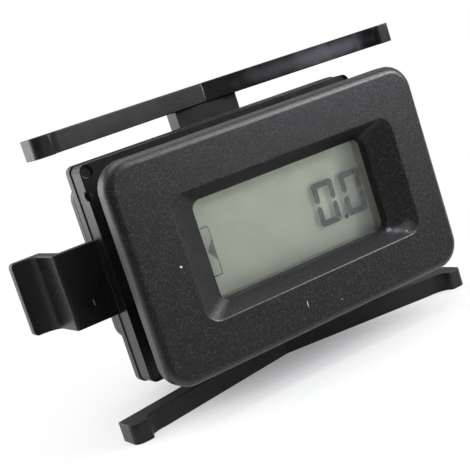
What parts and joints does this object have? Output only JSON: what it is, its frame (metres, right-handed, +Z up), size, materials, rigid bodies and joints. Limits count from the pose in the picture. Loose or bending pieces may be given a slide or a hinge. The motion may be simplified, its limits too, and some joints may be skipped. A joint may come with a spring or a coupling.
{
  "type": "panel-mount hour meter",
  "caption": "Rectangular panel-mount hour meter: LCD window in a bezel, box case with blade terminals, and a spring clamp that slides on from behind to grip the panel.",
  "frame": {"origin": "centre of the bezel's back face, the plane where the panel seats", "axes": "+X to the right and +Z up as seen from the front, +Y back through the panel"},
  "size_m": [0.063, 0.0367, 0.0404],
  "materials": {
    "case_plastic": "fine moulded grain",
    "clamp_plastic": "smooth satin",
    "lens_clear": "polished",
    "display_glass": "polished",
    "polariser_film": "satin film",
    "reflector_film": "grey-green diffuse",
    "holder_plastic": "moulded",
    "contact_rubber": "layered silicone",
    "board_laminate": "solder mask",
    "chip_epoxy": "moulded epoxy",
    "crystal_can": "drawn can",
    "capacitor_can": "satin can",
    "ceramic_body": "fired ceramic",
    "terminal_brass": "rolled strip"
  },
  "bodies": {
    "meter": {"front_case": "case_plastic", "window_lens": "lens_clear", "lcd_front_polariser": "polariser_film", "lcd_front_glass": "display_glass", "lcd_rear_glass": "display_glass", "lcd_reflector": "reflector_film", "lcd_holder": "holder_plastic", "zebra_strip_upper": "contact_rubber", "zebra_strip_lower": "contact_rubber", "circuit_board": "board_laminate", "controller_chip": "chip_epoxy", "memory_chip": "chip_epoxy", "quartz_crystal": "crystal_can", "filter_capacitor": "capacitor_can", "ceramic_capacitors": "ceramic_body", "resistors": "chip_epoxy", "rectifier_diodes": "chip_epoxy", "surge_suppressor": "chip_epoxy", "terminal_left": "terminal_brass", "terminal_right": "terminal_brass", "rear_cover": "case_plastic"},
    "clamp": {"mounting_clamp": "clamp_plastic"}
  },
  "joints": [
    {"name": "clamp_slide", "type": "slide", "parent": "meter", "child": "clamp", "axis": [0, 1, 0], "range_m": [-0.0082, 0.015]}
  ]
}
